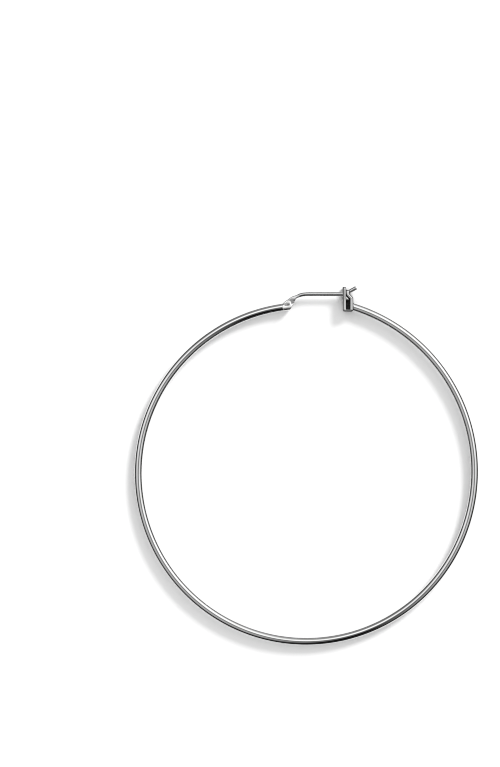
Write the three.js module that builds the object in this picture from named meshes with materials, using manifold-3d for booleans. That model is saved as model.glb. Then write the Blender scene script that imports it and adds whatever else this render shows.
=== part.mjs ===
// A large round-tube hoop earring with a hinged ear wire and a folded snap catch, lying on its side.
// Millimetres, +Z up. The hoop lies level with its clasp towards +Y; its centre is first put at
// the origin of the drawing plane, and the finished earring is then moved over its own middle.
import * as THREE from 'three';
import { mergeVertices } from 'three/addons/utils/BufferGeometryUtils.js';
import Module from 'manifold-3d';

const wasm = await Module();
wasm.setup();

// Hoop tube: a main arc that runs on into a slightly wider arc towards the catch
const hoopRadius = 31.28; // centreline of the main arc
const flareExtra = 0.82; // how much wider the second arc is
const flareStartDeg = -27;
const hingeEndDeg = 98;
const catchEndDeg = 72.8; // about the second arc's own centre
const tubeRadius = 0.75;
const tubeWall = 0.25;

// Hinge at the tube's end: a slotted rod and lug, drawn along and across the tube's end
const rodLength = 1.85;
const rodSlantDeg = 38; // how far the rod's end leans from square
const lugHalfWidth = 0.72;
const lugRadius = 0.67;
const rampDeg = 33; // rise of the lug's back towards its round top
const pinAlong = 1.06;
const pinAcross = 0.52;

// Rivet through the lug
const pinRadius = 0.28;
const headRadius = 0.37;
const headHeight = 0.09;
const headRim = 0.035; // straight edge of the head below its dome
const domeRun = 0.22; // radius at which the dome is nearly at its full height
const domeDrop = 0.015;
const pinFit = 0.03; // radial gap to the lug, and the gap under each head
const eyeFit = 0.06; // radial gap to the ear wire's eye

// Ear wire: flat paddle on the rivet, narrow bent neck, straight round wire, turned-up tip
const wireRadius = 0.382;
const paddleHalfThickness = 0.23;
const paddleFit = 0.04; // gap to each cheek of the hinge
const paddleRadius = 0.62;
const paddleDeg = 43; // way that the paddle leaves the rivet
const paddleWrapDeg = 200; // how far its round end goes round the rivet
const neckRun = 2.58; // from the rivet to where the neck is inside the round wire
const wireAboveCatchBottom = 3.29;
const shoulderRun = 1.0; // length of the round wire's own bend
const shoulderDrop = 0.21;
const tipDeg = 28.8;
const tipBendBehindFront = 0.37; // where the tip turns up, behind the catch's front face
const tipBendLength = 0.42;
const tipLength = 2.45;

// Catch: one strip folded to a U, its back wall set forward near the top
const catchWidth = 2.5;
const catchDepth = 1.95;
const catchHeight = 4.6;
const backWallHeight = 4.1;
const tubeAboveCatchBottom = 0.91;
const sheet = 0.52;
const foldRadius = 0.38;
const foldInnerRadius = 0.12;
const joggleShift = 0.7;
const joggleTopHeight = 3.31;
const slotFit = 0.05; // gap between the wire and each side of the slots
const backSlotRise = 0.08; // back slot's foot above the straight wire's underside
const keyholeRadius = 0.49;
const keyholeHeight = 2.53;
const lipRadius = 0.61;
const lipLength = 0.53;
const lipGap = 0.2;
const slitWidth = 0.16;
const slitBottomHeight = 0.63;

// Fineness of the round forms
const tubeSides = 16;
const boreSides = 12;
const hoopSteps = 104;
const wireSides = 12;
const wireSteps = 64;
const roundSides = 20;
const overlap = 0.2; // how deep soldered pieces run into each other
const weldDistance = 1e-5; // corners closer than this are one corner

const polishedSilver = { color: 0xc9cacc, roughness: 0.12, metalness: 1.0 };

// Worked out from the sizes above
const rad = THREE.MathUtils.degToRad;
const flareRadius = hoopRadius + flareExtra;
const flareCentre = arcPoint(0, 0, -flareExtra, flareStartDeg);
const hingeEnd = arcPoint(0, 0, hoopRadius, hingeEndDeg);
const hingeTurn = rad(hingeEndDeg - 90);
const pin = hingeEnd.clone().add(
  new THREE.Vector2(pinAlong, pinAcross).rotateAround(new THREE.Vector2(), hingeTurn),
);
const catchEnd = arcPoint(flareCentre.x, flareCentre.y, flareRadius, catchEndDeg);
const catchBack = catchEnd.x;
const catchFront = catchBack - catchDepth;
const catchBottom = catchEnd.y - tubeAboveCatchBottom;
const catchTop = catchBottom + catchHeight;
const wireLine = catchBottom + wireAboveCatchBottom;
const slotHalf = wireRadius + slotFit;

function arcPoint(centreX, centreY, radius, deg) {
  return new THREE.Vector2(
    centreX + radius * Math.cos(rad(deg)),
    centreY + radius * Math.sin(rad(deg)),
  );
}

// A closed geometry as a solid that can be joined and cut, with its faces pointing out
function solid(geometry) {
  const bare = geometry.clone();
  bare.deleteAttribute('normal');
  bare.deleteAttribute('uv');
  const merged = mergeVertices(bare, weldDistance);
  const triVerts = new Uint32Array(merged.index.array);
  const vertProperties = new Float32Array(merged.attributes.position.array);
  return new wasm.Manifold(new wasm.Mesh({ numProp: 3, vertProperties, triVerts }));
}

function namedMesh(name, shape) {
  const data = shape.getMesh();
  const geometry = new THREE.BufferGeometry();
  geometry.setAttribute('position', new THREE.BufferAttribute(data.vertProperties, 3));
  geometry.setIndex(new THREE.BufferAttribute(data.triVerts, 1));
  geometry.computeVertexNormals();
  const mesh = new THREE.Mesh(geometry, new THREE.MeshStandardMaterial(polishedSilver));
  mesh.name = name;
  return mesh;
}

// The hoop's centreline from the hinge end, the long way round, to the catch end
class HoopLine extends THREE.Curve {
  constructor(extraAtHinge, extraAtCatch) {
    super();
    this.mainSpan = hoopRadius * rad(360 + flareStartDeg - hingeEndDeg);
    this.flareSpan = flareRadius * rad(catchEndDeg - flareStartDeg);
    this.start = -extraAtHinge;
    this.length = this.mainSpan + this.flareSpan + extraAtHinge + extraAtCatch;
  }

  getPoint(t, target = new THREE.Vector3()) {
    const along = this.start + t * this.length;
    const past = along - this.mainSpan;
    const point = past < 0
      ? arcPoint(0, 0, hoopRadius, hingeEndDeg + THREE.MathUtils.radToDeg(along / hoopRadius))
      : arcPoint(
        flareCentre.x,
        flareCentre.y,
        flareRadius,
        flareStartDeg + THREE.MathUtils.radToDeg(past / flareRadius),
      );
    return target.set(point.x, point.y, 0);
  }
}

// A round bar of the given radius carried along a curve
function roundBar(curve, radius, sides, steps) {
  const section = new THREE.Shape().absarc(0, 0, radius, 0, Math.PI * 2, false);
  return solid(new THREE.ExtrudeGeometry(section, {
    steps,
    curveSegments: sides / 2,
    extrudePath: curve,
  }));
}

// A round bar along +Z, centred on a point
function cylinderAt(x, y, radius, length, sides) {
  const geometry = new THREE.CylinderGeometry(radius, radius, length, sides);
  return solid(geometry.rotateX(Math.PI / 2).translate(x, y, 0));
}

// A flat outline given a thickness along Z, centred on the hoop's plane
function flatPlate(shape, thickness, curveSegments = 8) {
  const geometry = new THREE.ExtrudeGeometry(shape, {
    depth: thickness,
    bevelEnabled: false,
    curveSegments,
  });
  return solid(geometry.translate(0, 0, -thickness / 2));
}

// An outline drawn across (first) and up (second), carried along +X from one place to another
function plateAlongX(shape, fromX, toX) {
  const geometry = new THREE.ExtrudeGeometry(shape, {
    depth: toX - fromX,
    bevelEnabled: false,
    curveSegments: 8,
  });
  return solid(geometry.rotateY(Math.PI / 2).translate(fromX, 0, 0));
}

function boxBetween(fromX, toX, fromY, toY, width) {
  const geometry = new THREE.BoxGeometry(toX - fromX, toY - fromY, width);
  return solid(geometry.translate((fromX + toX) / 2, (fromY + toY) / 2, 0));
}

// Tube: hollow, open into the hinge's slot, closed at the catch by the catch's back wall
function tubeSolid() {
  const outer = roundBar(new HoopLine(0, overlap), tubeRadius, tubeSides, hoopSteps);
  const bore = roundBar(
    new HoopLine(overlap, 2 * overlap),
    tubeRadius - tubeWall,
    boreSides,
    hoopSteps,
  );
  return outer.subtract(bore);
}

// Hinge: rod with a leaning end and a round lug above it, not yet slotted.
// Drawn with +X along the tube's end and +Y away from the hoop's centre.
function hingeBody() {
  const lean = Math.tan(rad(rodSlantDeg));
  const side = tubeRadius + overlap;
  const rodOutline = new THREE.Shape()
    .moveTo(-overlap / 4, -side)
    .lineTo(rodLength - side * lean, -side)
    .lineTo(rodLength + side * lean, side)
    .lineTo(-overlap / 4, side);
  const reach = 2 * (rodLength + side * lean);
  const round = new THREE.CylinderGeometry(tubeRadius, tubeRadius, reach, tubeSides);
  const rod = solid(round.rotateZ(Math.PI / 2)).intersect(flatPlate(rodOutline, 2 * side));

  const topDeg = 90 + rampDeg;
  const topX = pinAlong + lugRadius * Math.cos(rad(topDeg));
  const topY = pinAcross + lugRadius * Math.sin(rad(topDeg));
  const footX = topX - (topY - tubeRadius) / Math.tan(rad(rampDeg));
  const lugOutline = new THREE.Shape()
    .moveTo(footX, 0)
    .lineTo(pinAlong + lugRadius, 0)
    .lineTo(pinAlong + lugRadius, pinAcross)
    .absarc(pinAlong, pinAcross, lugRadius, 0, rad(topDeg), false)
    .lineTo(footX, tubeRadius);
  return rod.add(flatPlate(lugOutline, 2 * lugHalfWidth));
}

function hingeCuts() {
  const reach = rodLength + 2 * tubeRadius;
  const slotWidth = 2 * (paddleHalfThickness + paddleFit);
  const slot = boxBetween(-overlap / 2, reach, -reach, reach, slotWidth);
  const hole = cylinderAt(pinAlong, pinAcross, pinRadius + pinFit, 4 * tubeRadius, roundSides);
  return slot.add(hole);
}

function atHingeEnd(shape) {
  const turned = shape.rotate([0, 0, hingeEndDeg - 90]);
  return turned.translate([hingeEnd.x, hingeEnd.y, 0]);
}

// Side outline of the folded strip: front wall, rounded fold, back wall with its forward set
function foldedStripOutline() {
  const backTop = catchBottom + backWallHeight;
  const outerBendTop = catchBottom + joggleTopHeight;
  const innerDrop = sheet * Math.tan(Math.PI / 8); // inner corner of a 45 degree bend
  const prongX = catchBack - joggleShift;
  const floor = catchBottom + sheet;
  return new THREE.Shape()
    .moveTo(catchFront, catchTop)
    .lineTo(catchFront, catchBottom + foldRadius)
    .absarc(catchFront + foldRadius, catchBottom + foldRadius, foldRadius,
      Math.PI, 1.5 * Math.PI, false)
    .lineTo(catchBack - foldRadius, catchBottom)
    .absarc(catchBack - foldRadius, catchBottom + foldRadius, foldRadius,
      1.5 * Math.PI, 2 * Math.PI, false)
    .lineTo(catchBack, outerBendTop - joggleShift)
    .lineTo(prongX, outerBendTop)
    .lineTo(prongX, backTop)
    .lineTo(prongX - sheet, backTop)
    .lineTo(prongX - sheet, outerBendTop - innerDrop)
    .lineTo(catchBack - sheet, outerBendTop - joggleShift - innerDrop)
    .lineTo(catchBack - sheet, floor + foldInnerRadius)
    .absarc(catchBack - sheet - foldInnerRadius, floor + foldInnerRadius, foldInnerRadius,
      0, -0.5 * Math.PI, true)
    .lineTo(catchFront + sheet + foldInnerRadius, floor)
    .absarc(catchFront + sheet + foldInnerRadius, floor + foldInnerRadius, foldInnerRadius,
      1.5 * Math.PI, Math.PI, true)
    .lineTo(catchFront + sheet, catchTop);
}

// Face outline of one wall: two round-topped prongs with a slot between them, whose foot is
// drawn by the caller from the slot's right side to its left side
function wallOutline(top, drawSlotFoot) {
  const half = catchWidth / 2;
  const prongRadius = (half - slotHalf) / 2;
  const prongCentre = half - prongRadius;
  const shoulder = top - prongRadius;
  const shape = new THREE.Shape()
    .moveTo(-half, catchBottom - overlap)
    .lineTo(half, catchBottom - overlap)
    .lineTo(half, shoulder)
    .absarc(prongCentre, shoulder, prongRadius, 0, Math.PI, false);
  drawSlotFoot(shape);
  return shape
    .lineTo(-slotHalf, shoulder)
    .absarc(-prongCentre, shoulder, prongRadius, 0, Math.PI, false);
}

// Keyhole under the front slot, with a thin slit below it
function drawKeyhole(shape) {
  const centre = catchBottom + keyholeHeight;
  const mouth = Math.acos(slotHalf / keyholeRadius);
  const slit = Math.asin(slitWidth / 2 / keyholeRadius);
  const slitFoot = catchBottom + slitBottomHeight;
  const down = -0.5 * Math.PI;
  shape
    .lineTo(slotHalf, centre + keyholeRadius * Math.sin(mouth))
    .absarc(0, centre, keyholeRadius, mouth, down + slit, true)
    .lineTo(slitWidth / 2, slitFoot)
    .lineTo(-slitWidth / 2, slitFoot)
    .absarc(0, centre, keyholeRadius, down - slit, Math.PI - mouth - 2 * Math.PI, true);
}

function drawFlatFoot(shape) {
  const foot = wireLine - wireRadius + backSlotRise;
  shape
    .lineTo(slotHalf, foot)
    .lineTo(-slotHalf, foot);
}

// Raised lip round the keyhole on the front wall's inner side, trimmed along the back wall's bend
function keyholeLip() {
  const centre = catchBottom + keyholeHeight;
  const inner = catchFront + sheet;
  const ring = new THREE.Shape().absarc(0, centre, lipRadius, 0, 2 * Math.PI, false);
  const hole = new THREE.Shape().absarc(0, centre, keyholeRadius, 0, 2 * Math.PI, false);
  const bendFoot = catchBottom + joggleTopHeight - joggleShift - sheet * Math.tan(Math.PI / 8);
  const trim = new THREE.Shape()
    .moveTo(catchBack - sheet - lipGap * Math.SQRT2, bendFoot)
    .lineTo(catchBack + catchDepth, bendFoot)
    .lineTo(catchBack + catchDepth, catchTop)
    .lineTo(catchBack - sheet - lipGap * Math.SQRT2 - (catchTop - bendFoot), catchTop);
  return plateAlongX(ring, inner - sheet / 2, inner + lipLength)
    .subtract(plateAlongX(hole, inner - sheet, inner + 2 * lipLength))
    .subtract(boxBetween(inner - sheet, inner + 2 * lipLength, centre, catchTop, 2 * slotHalf))
    .subtract(flatPlate(trim, catchWidth));
}

function catchSolid() {
  const strip = flatPlate(foldedStripOutline(), catchWidth);
  const middle = catchBack - joggleShift - sheet - lipGap / 2;
  const front = strip.intersect(
    plateAlongX(wallOutline(catchTop, drawKeyhole), catchFront - overlap, middle),
  );
  const back = strip.intersect(
    plateAlongX(wallOutline(catchBottom + backWallHeight, drawFlatFoot), middle,
      catchBack + overlap),
  );
  return front.add(back).add(keyholeLip());
}

function hoopSolid() {
  return tubeSolid()
    .add(atHingeEnd(hingeBody()))
    .add(catchSolid())
    .subtract(atHingeEnd(hingeCuts()));
}

// Rivet with a low domed head at each end
function pinSolid() {
  const underHead = lugHalfWidth + pinFit;
  const crown = underHead + headHeight;
  const half = [
    [pinRadius, underHead],
    [headRadius, underHead],
    [headRadius, underHead + headRim],
    [domeRun, crown - domeDrop],
    [0, crown],
  ];
  const lower = half.map(([r, z]) => new THREE.Vector2(r, -z)).reverse();
  const upper = half.map(([r, z]) => new THREE.Vector2(r, z));
  const lathe = new THREE.LatheGeometry([...lower, ...upper], roundSides);
  return solid(lathe.rotateX(Math.PI / 2).translate(pin.x, pin.y, 0));
}

// Ear wire's flat end: round about the rivet, narrowing along the bent neck.
// Rows: shares of the neck's run and rise, and of the paddle's radius
const neckRows = [
  { run: 0.3, rise: 0.41, half: 0.86 },
  { run: 0.44, rise: 0.585, half: 0.68 },
  { run: 0.58, rise: 0.7, half: 0.5 },
  { run: 0.74, rise: 0.795, half: 0.44 },
  { run: 0.89, rise: 0.885, half: 0.46 },
  { run: 1.0, rise: 0.96, half: 0.48 },
];

function paddleOutline() {
  const rise = wireLine - pin.y;
  const middle = neckRows.map((row) => new THREE.Vector2(
    pin.x + row.run * neckRun,
    pin.y + row.rise * rise,
  ));
  const line = new THREE.SplineCurve([pin.clone(), ...middle]);
  const edge = (sign) => neckRows.map((row, i) => {
    const tangent = line.getTangent((i + 1) / neckRows.length);
    const out = row.half * paddleRadius * sign;
    return new THREE.Vector2(middle[i].x - tangent.y * out, middle[i].y + tangent.x * out);
  });
  const lower = edge(-1);
  const upper = edge(1).reverse();
  const wrapStart = paddleDeg + 180 - paddleWrapDeg / 2;
  const shape = new THREE.Shape();
  shape.moveTo(lower[0].x, lower[0].y);
  shape.splineThru(lower.slice(1));
  shape.lineTo(upper[0].x, upper[0].y);
  shape.splineThru(upper.slice(1));
  shape.absarc(pin.x, pin.y, paddleRadius, rad(wrapStart), rad(wrapStart + paddleWrapDeg), false);
  return shape;
}

// The round wire's line: shoulder out of the neck, straight run, turned-up tip
function wireCurve() {
  const startX = pin.x + neckRun - shoulderRun / 2;
  const bendX = catchFront + tipBendBehindFront;
  const tipWay = new THREE.Vector3(Math.cos(rad(tipDeg)), Math.sin(rad(tipDeg)), 0);
  const bend = new THREE.Vector3(bendX, wireLine, 0);
  const start = new THREE.Vector3(startX, wireLine - shoulderDrop, 0);
  const shoulderTop = new THREE.Vector3(startX + shoulderRun / 2, wireLine, 0);
  const runStart = new THREE.Vector3(startX + shoulderRun, wireLine, 0);
  const runEnd = new THREE.Vector3(bendX - tipBendLength, wireLine, 0);
  const tipStart = bend.clone().addScaledVector(tipWay, tipBendLength);
  const tipEnd = bend.clone().addScaledVector(tipWay, tipLength);
  const path = new THREE.CurvePath();
  path.add(new THREE.QuadraticBezierCurve3(start, shoulderTop, runStart));
  path.add(new THREE.LineCurve3(runStart, runEnd));
  path.add(new THREE.QuadraticBezierCurve3(runEnd, bend, tipStart));
  path.add(new THREE.LineCurve3(tipStart, tipEnd));
  return path;
}

function earWireSolid() {
  const path = wireCurve();
  const start = path.getPoint(0);
  const shoulder = new THREE.SphereGeometry(wireRadius, wireSides, wireSides / 2);
  return roundBar(path, wireRadius, wireSides, wireSteps)
    .add(solid(shoulder.translate(start.x, start.y, 0)))
    .add(flatPlate(paddleOutline(), 2 * paddleHalfThickness, 5))
    .subtract(cylinderAt(pin.x, pin.y, pinRadius + eyeFit, 4 * wireRadius, roundSides));
}

const earring = new THREE.Group();
earring.add(namedMesh('hoop', hoopSolid()));
earring.add(namedMesh('hinge_pin', pinSolid()));
earring.add(namedMesh('ear_wire', earWireSolid()));

// Stand the earring over the middle of its own footprint, on the surface it lies on
const extent = new THREE.Box3().setFromObject(earring);
const middle = extent.getCenter(new THREE.Vector3());
earring.position.set(-middle.x, -middle.y, -extent.min.z);

const model = new THREE.Group();
model.add(earring);

export default model;
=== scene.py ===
import bmesh
import bpy
import numpy as np
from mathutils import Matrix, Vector


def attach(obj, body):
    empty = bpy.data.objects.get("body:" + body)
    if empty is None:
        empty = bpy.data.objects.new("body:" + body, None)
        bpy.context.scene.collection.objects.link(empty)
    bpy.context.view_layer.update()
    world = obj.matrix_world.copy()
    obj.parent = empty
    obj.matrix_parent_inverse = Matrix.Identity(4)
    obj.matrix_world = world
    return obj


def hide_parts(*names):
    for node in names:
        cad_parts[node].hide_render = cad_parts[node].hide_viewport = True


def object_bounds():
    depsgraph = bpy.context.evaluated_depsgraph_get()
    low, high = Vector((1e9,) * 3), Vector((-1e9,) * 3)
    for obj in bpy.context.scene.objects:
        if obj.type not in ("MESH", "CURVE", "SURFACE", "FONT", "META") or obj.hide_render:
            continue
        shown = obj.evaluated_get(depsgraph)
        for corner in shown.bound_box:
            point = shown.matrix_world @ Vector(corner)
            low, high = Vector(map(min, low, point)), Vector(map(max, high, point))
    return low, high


# A thin polished silver tube hoop, lying on its side on a white table: fine surfaces and metal
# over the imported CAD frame. Sizes are in millimetres, in the plane that the hoop was drawn in.
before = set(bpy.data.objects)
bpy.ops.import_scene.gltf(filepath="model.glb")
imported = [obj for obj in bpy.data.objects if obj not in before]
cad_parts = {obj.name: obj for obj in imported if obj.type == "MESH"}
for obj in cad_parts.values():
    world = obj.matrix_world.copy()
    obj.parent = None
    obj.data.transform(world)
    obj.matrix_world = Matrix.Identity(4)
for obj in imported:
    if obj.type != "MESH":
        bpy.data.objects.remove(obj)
cadLow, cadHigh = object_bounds()
scene = bpy.context.scene
millimetre = 0.001
farIn = 9.0  # more than any half width: a row drawn in so far closes on its middle
farOut = 99.0  # further than any outline


def arcPoint(centre, radius, deg):
    # a point on a circle, by its angle from +X
    a = np.radians(deg)
    return np.stack([centre[0] + radius * np.cos(a), centre[1] + radius * np.sin(a)], -1)


def alongLine(points):
    # distance run from the first point to each point
    return np.concatenate([[0], np.cumsum(np.linalg.norm(np.diff(points, axis=0), axis=1))])


def sideways(points):
    # left-hand unit normal of a plane path at each point: its tangent turned by a quarter
    tangent = np.gradient(points, alongLine(points), axis=0)
    tangent /= np.linalg.norm(tangent, axis=1)[:, None]
    return np.stack([-tangent[:, 1], tangent[:, 0]], -1)


def smoothRows(rows, perGap):
    # cubic through every row (Catmull-Rom): each value from the two rows before and after it
    rows = np.asarray(rows, float)
    padded = np.concatenate([[2 * rows[0] - rows[1]], rows, [2 * rows[-1] - rows[-2]]])
    u = np.linspace(0, len(rows) - 1, (len(rows) - 1) * perGap + 1)
    i = np.minimum(u.astype(int), len(rows) - 2)
    t = (u - i)[:, None]
    a, b, c, d = padded[i], padded[i + 1], padded[i + 2], padded[i + 3]
    return 0.5 * (2 * b + (c - a) * t + (2 * a - 5 * b + 4 * c - d) * t ** 2
                  + (3 * b - a - 3 * c + d) * t ** 3)


def roundedLine(corners, radii, arcPoints):
    # corner points joined by straight runs, each inner corner replaced by an arc tangent to both:
    # the tangent length is the radius times the tangent of half the turn
    corners = np.asarray(corners, float)
    parts = [corners[:1]]
    for before, corner, after, radius in zip(corners[:-2], corners[1:-1], corners[2:], radii):
        way1 = (corner - before) / np.linalg.norm(corner - before)
        way2 = (after - corner) / np.linalg.norm(after - corner)
        turn = np.arctan2(way1[0] * way2[1] - way1[1] * way2[0], way1 @ way2)
        start = corner - way1 * radius * np.tan(abs(turn) / 2)
        toCentre = np.sign(turn) * np.array([-way1[1], way1[0]])
        a = np.linspace(0, turn, arcPoints)[:, None]
        out = -toCentre
        spun = out * np.cos(a) + np.array([-out[1], out[0]]) * np.sin(a)
        parts.append(start + radius * toCentre + radius * spun)
    parts.append(corners[-1:])
    return np.concatenate(parts)


def gridShell(points, along, around, unpolished=0.0):
    # a grid of rows, closed from its last column to its first: quads between neighbours, turned
    # outward by the sign of the volume that they enclose; the last argument is a share of painted
    # shade for each point
    rows, columns = points.shape[:2]
    i, j = np.meshgrid(np.arange(rows - 1), np.arange(columns), indexing="ij")
    right = (j + 1) % columns
    faces = np.stack([i * columns + j, (i + 1) * columns + j, (i + 1) * columns + right,
                      i * columns + right], -1).reshape(-1, 4)
    along, around = np.asarray(along, float), np.asarray(around, float)
    uv = np.stack([np.stack([along[i], around[j]], -1), np.stack([along[i + 1], around[j]], -1),
                   np.stack([along[i + 1], around[j + 1]], -1),
                   np.stack([along[i], around[j + 1]], -1)], 2).reshape(-1, 4, 2)
    verts = points.reshape(-1, 3)
    p = verts[faces]
    volume = (np.einsum("fi,fi->", p[:, 0], np.cross(p[:, 1], p[:, 2]))
              + np.einsum("fi,fi->", p[:, 0], np.cross(p[:, 2], p[:, 3])))
    if volume < 0:
        faces, uv = faces[:, ::-1], uv[:, ::-1]
    return verts, faces, uv, np.broadcast_to(unpolished, (rows, columns)).reshape(-1)


def mirrored(shell):
    # the same shell on the other side of the hoop's plane, its faces turned back outward
    verts, faces, uv, unpolished = shell
    return verts * [1, 1, -1], faces[:, ::-1], uv[:, ::-1], unpolished


def weld(mesh):
    # rows that lie on one point become that point
    sheet = bmesh.new()
    sheet.from_mesh(mesh)
    bmesh.ops.remove_doubles(sheet, verts=sheet.verts, dist=2e-8)
    bmesh.ops.dissolve_degenerate(sheet, edges=sheet.edges, dist=1e-8)
    sheet.to_mesh(mesh)
    sheet.free()


def makePiece(name, shells, material, body, node, sharpDeg=None):
    # shells in drawing millimetres, joined to one mesh in the frame's metres
    verts = np.concatenate([s[0] for s in shells])
    starts = np.cumsum([0] + [len(s[0]) for s in shells[:-1]])
    faces = np.concatenate([s[1] + k for s, k in zip(shells, starts)])
    uv = np.concatenate([s[2] for s in shells])
    unpolished = np.concatenate([s[3] for s in shells])
    mesh = bpy.data.meshes.new(name)
    mesh.from_pydata(((verts + drawingPlace) * millimetre).tolist(), [], faces.tolist())
    layer = mesh.uv_layers.new(name="strokes")
    layer.data.foreach_set("uv", uv.reshape(-1).astype(np.float32))
    # painted shade: each point's share of painted shade goes to the mesh as an attribute
    if unpolished.any():
        share = mesh.attributes.new("unpolished", "FLOAT", "POINT")
        share.data.foreach_set("value", unpolished.astype(np.float32))
    weld(mesh)
    mesh.shade_smooth()
    if sharpDeg:
        mesh.set_sharp_from_angle(angle=np.radians(sharpDeg))
    piece = bpy.data.objects.new(name, mesh)
    scene.collection.objects.link(piece)
    piece.data.materials.append(material)
    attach(piece, body)
    if node:
        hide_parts(node)
    print(name, len(mesh.polygons), "faces")


def newGroup(name, inputs, outputs):
    group = bpy.data.node_groups.new(name, "ShaderNodeTree")
    for label, kind, value in inputs:
        socket = group.interface.new_socket(label, in_out="INPUT", socket_type=kind)
        if value is not None:
            socket.default_value = value
    for label, kind in outputs:
        group.interface.new_socket(label, in_out="OUTPUT", socket_type=kind)
    return group, group.nodes.new("NodeGroupInput"), group.nodes.new("NodeGroupOutput")


def mathNode(tree, operation, first, second=None):
    node = tree.nodes.new("ShaderNodeMath")
    node.operation = operation
    for socket, value in zip(node.inputs, (first, second)):
        if value is None:
            continue
        if isinstance(value, (int, float)):
            socket.default_value = value
        else:
            tree.links.new(value, socket)
    return node.outputs[0]


def noiseNode(tree, vector, scale, detail=3.0, roughness=0.5):
    node = tree.nodes.new("ShaderNodeTexNoise")
    node.inputs["Scale"].default_value = scale
    node.inputs["Detail"].default_value = detail
    node.inputs["Roughness"].default_value = roughness
    tree.links.new(vector, node.inputs["Vector"])
    return node.outputs["Fac"]


def rampNode(tree, value, low, high, toLow=0.0, toHigh=1.0):
    node = tree.nodes.new("ShaderNodeMapRange")
    node.interpolation_type = "SMOOTHSTEP"
    node.inputs["From Min"].default_value = low
    node.inputs["From Max"].default_value = high
    node.inputs["To Min"].default_value = toLow
    node.inputs["To Max"].default_value = toHigh
    tree.links.new(value, node.inputs["Value"])
    return node.outputs["Result"]


def colourMix(tree, factor, first, second):
    # first towards second by the factor; each is an output or a plain colour
    node = tree.nodes.new("ShaderNodeMix")
    node.data_type = "RGBA"
    tree.links.new(factor, node.inputs["Factor"])
    for socket, value in ((node.inputs["A"], first), (node.inputs["B"], second)):
        if isinstance(value, tuple):
            socket.default_value = (*value, 1)
        else:
            tree.links.new(value, socket)
    return node.outputs["Result"]


# hairlines left by the polishing cloth: noise stretched along the strokes, two layers at a slant
def polishingStrokes():
    group, given, out = newGroup(
        "polishing strokes",
        [("Strokes", "NodeSocketVector", None), ("Fineness", "NodeSocketFloat", 6.0),
         ("Length", "NodeSocketFloat", 9.0)],
        [("Height", "NodeSocketFloat"), ("Mask", "NodeSocketFloat")],
    )
    layers = []
    for slant, share in ((0.12, 1.0), (-0.31, 0.7)):
        turn = group.nodes.new("ShaderNodeMapping")
        turn.inputs["Rotation"].default_value = (0, 0, slant)
        group.links.new(given.outputs["Strokes"], turn.inputs["Vector"])
        squeeze = group.nodes.new("ShaderNodeVectorMath")
        squeeze.operation = "MULTIPLY"
        stretch = group.nodes.new("ShaderNodeCombineXYZ")
        group.links.new(mathNode(group, "DIVIDE", given.outputs["Fineness"],
                                 given.outputs["Length"]), stretch.inputs[0])
        group.links.new(given.outputs["Fineness"], stretch.inputs[1])
        group.links.new(turn.outputs[0], squeeze.inputs[0])
        group.links.new(stretch.outputs[0], squeeze.inputs[1])
        noise = noiseNode(group, squeeze.outputs[0], 1.0, 5.0, 0.62)
        layers.append(mathNode(group, "MULTIPLY", noise, share))
    height = mathNode(group, "ADD", layers[0], layers[1])
    group.links.new(height, out.inputs["Height"])
    group.links.new(rampNode(group, height, 0.86, 1.08), out.inputs["Mask"])
    return group


# soft clouds of haze from handling: where the mirror is a little dull
def handlingHaze():
    group, given, out = newGroup(
        "handling haze",
        [("Place", "NodeSocketVector", None), ("Patch Size", "NodeSocketFloat", 4.0)],
        [("Haze", "NodeSocketFloat"), ("Specks", "NodeSocketFloat")],
    )
    scaled = group.nodes.new("ShaderNodeVectorMath")
    scaled.operation = "SCALE"
    group.links.new(given.outputs["Place"], scaled.inputs[0])
    group.links.new(mathNode(group, "DIVIDE", 1000.0, given.outputs["Patch Size"]),
                    scaled.inputs["Scale"])
    cloud = noiseNode(group, scaled.outputs[0], 1.0, 4.0, 0.55)
    group.links.new(rampNode(group, cloud, 0.42, 0.68), out.inputs["Haze"])
    speck = noiseNode(group, scaled.outputs[0], 22.0, 2.0, 0.5)
    group.links.new(rampNode(group, speck, 0.66, 0.74), out.inputs["Specks"])
    return group


# colour drift: bright metal, duller in the haze, with darker specks
def tarnish():
    group, given, out = newGroup(
        "tarnish",
        [("Bright", "NodeSocketColor", None), ("Dull", "NodeSocketColor", None),
         ("Speck", "NodeSocketColor", None), ("Haze", "NodeSocketFloat", 0.0),
         ("Specks", "NodeSocketFloat", 0.0)],
        [("Colour", "NodeSocketColor")],
    )
    clouded = colourMix(group, given.outputs["Haze"], given.outputs["Bright"],
                        given.outputs["Dull"])
    group.links.new(colourMix(group, given.outputs["Specks"], clouded, given.outputs["Speck"]),
                    out.inputs["Colour"])
    return group


# painted shade: the colour goes towards a dark shade colour and the roughness up by its share
def paintedShadeMix():
    rougher = 0.3
    group, given, out = newGroup(
        "unpolished skin",
        [("Colour", "NodeSocketColor", None), ("Skin", "NodeSocketColor", None),
         ("Roughness", "NodeSocketFloat", 0.0), ("Share", "NodeSocketFloat", 0.0)],
        [("Colour", "NodeSocketColor"), ("Roughness", "NodeSocketFloat")],
    )
    group.links.new(colourMix(group, given.outputs["Share"], given.outputs["Colour"],
                              given.outputs["Skin"]), out.inputs["Colour"])
    extra = mathNode(group, "MULTIPLY", given.outputs["Share"], rougher)
    group.links.new(mathNode(group, "ADD", given.outputs["Roughness"], extra),
                    out.inputs["Roughness"])
    return group


strokesGroup = polishingStrokes()
hazeGroup = handlingHaze()
tarnishGroup = tarnish()
paintedShadeGroup = paintedShadeMix()
print("shader groups made")


def groupNode(tree, group, inputs):
    # a group in a material, each named input linked to an output or set to a value
    node = tree.nodes.new("ShaderNodeGroup")
    node.node_tree = group
    for label, value in inputs.items():
        if isinstance(value, (int, float)):
            node.inputs[label].default_value = value
        elif isinstance(value, tuple):
            node.inputs[label].default_value = (*value, 1)
        else:
            tree.links.new(value, node.inputs[label])
    return node


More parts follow.
